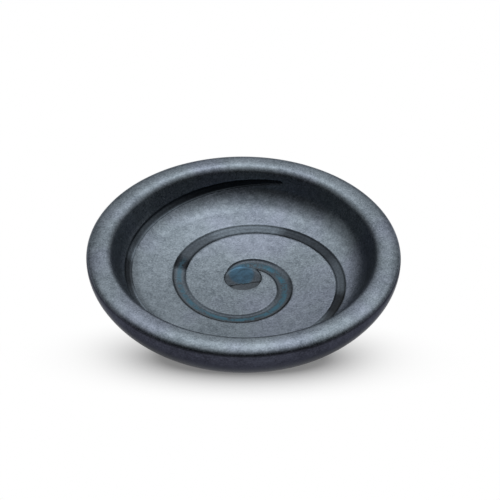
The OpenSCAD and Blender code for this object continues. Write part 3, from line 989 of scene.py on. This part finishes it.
# %% Floor
SHADE_Y, SHADE_SQUEEZE, SHADE_FROM, SHADE_TO, SHADE_LEAST, SHADE_POWER = -0.0279, 0.276, 0.0065, 0.0198, 0.005, 0.32
floor_white, tree, shader, here = new_material(
    "floor_white", Base_Color=(0.86, 0.86, 0.86, 1), Roughness=1.0, Specular_IOR_Level=0.0
)
from_shade = add(tree, "ShaderNodeVectorMath", {0: here, 1: (0.0, SHADE_Y, 0.0)}, operation="SUBTRACT").outputs[0]
links = {0: from_shade, 1: (SHADE_SQUEEZE, 1.0, 1.0)}
drawn_in = add(tree, "ShaderNodeVectorMath", links, operation="MULTIPLY").outputs[0]
from_middle = add(tree, "ShaderNodeVectorMath", {0: drawn_in}, operation="LENGTH").outputs["Value"]
clear = spread(from_middle, SHADE_FROM, SHADE_TO, to_low=SHADE_LEAST, smooth=True)
seen = add(tree, "ShaderNodeLightPath").outputs
mirrored = sums("MAXIMUM", seen["Is Glossy Ray"], seen["Is Transmission Ray"])
shown = sums("MAXIMUM", seen["Is Camera Ray"], mirrored)
whiteness = sums("MULTIPLY", shown, sums("POWER", clear, SHADE_POWER))
white = add(tree, "ShaderNodeEmission", {"Strength": 1.0})
lit = add(tree, "ShaderNodeMixShader", {0: whiteness, 1: shader.outputs[0], 2: white.outputs[0]})
tree.links.new(lit.outputs[0], tree.nodes["Material Output"].inputs["Surface"])
floor_mesh = bpy.data.meshes.new("floor")
floor_mesh.from_pydata([(-3, -3, 0), (3, -3, 0), (3, 3, 0), (-3, 3, 0)], [], [(0, 1, 2, 3)])
floor_mesh.materials.append(floor_white)
floor = new_object("floor", floor_mesh)
floor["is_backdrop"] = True
print("floor set,", floor.dimensions.x, "m wide")

# %% [markdown]
# All the light comes from a wide sky that is brightest high behind the dish, falls off to both sides and is dark over
# the camera. Lamps would do for a matt dish, but a satin glaze shows little but what it reflects, so the shape of this
# sky is what gives the rim its soft band of light and leaves the wall under it dark.
# On a level matt surface its light comes to about 1, so a colour renders about as it is written.

# %% How bright the sky is
# Degrees up from behind the dish and over, with the brightness there. Then how far to a side, with the share left.
SKY = [
    (0, 0.32), (20, 0.95), (29, 1.32), (38, 1.1), (45, 1.7), (52, 3.0), (62, 3.2), (76, 2.85), (87, 2.2), (98, 1.63),
    (110, 1.19), (124, 0.8), (138, 0.38), (150, 0.14), (164, 0.04), (180, 0.02),
]
SIDES = [(0, 1.0), (0.08, 0.94), (0.16, 0.82), (0.27, 0.70), (0.485, 0.6), (0.8, 0.32), (1, 0.2)]
HALF_TURN, SKY_TOP, SIDE_MIDDLE = 180.0, 4.0, 0.08


def float_curve(tree, table, longest, highest):
    """A smooth curve through a table of pairs, both scaled to run from 0 to 1."""
    made = tree.nodes.new("ShaderNodeFloatCurve")
    curve = made.mapping.curves[0]
    for i, (place, value) in enumerate(table):
        if i < 2:
            curve.points[i].location = (place / longest, value / highest)
        else:
            curve.points.new(place / longest, value / highest)
    for point in curve.points:
        point.handle_type = "AUTO_CLAMPED"
    made.mapping.update()
    return made


print(len(SKY), "heights and", len(SIDES), "sides of the sky")

# %% Sky
world = bpy.data.worlds.new("studio")
bpy.context.scene.world = world
world.use_nodes = True
sky = world.node_tree
side_way, back_way, up_way = split(sky.nodes.new("ShaderNodeTexCoord").outputs["Generated"])
overhead = sums("ARCTAN2", sums("MAXIMUM", up_way, 0.0), back_way)
arch = float_curve(sky, SKY, HALF_TURN, SKY_TOP)
sky.links.new(sums("DIVIDE", overhead, math.pi), arch.inputs["Value"])
across = float_curve(sky, SIDES, 1.0, 1.0)
sky.links.new(sums("ABSOLUTE", sums("SUBTRACT", side_way, SIDE_MIDDLE)), across.inputs["Value"])
level = sums("MULTIPLY", arch.outputs[0], sums("MULTIPLY", across.outputs[0], SKY_TOP))
sky.links.new(level, sky.nodes["Background"].inputs["Strength"])
sky.nodes["Background"].inputs["Color"].default_value = (1, 1, 1, 1)
bpy.context.scene.view_settings.view_transform = "Standard"
print("sky set")

# %% [markdown]
# The dressed dish has to stay inside the imported one's box, so both boxes are written side by side.

# %% Sizes side by side, and the end
dressed_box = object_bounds()
for title, box in (("CAD box", cad_box), ("dressed", dressed_box)):
    print(title, [[round(v, 4) for v in c] for c in box])
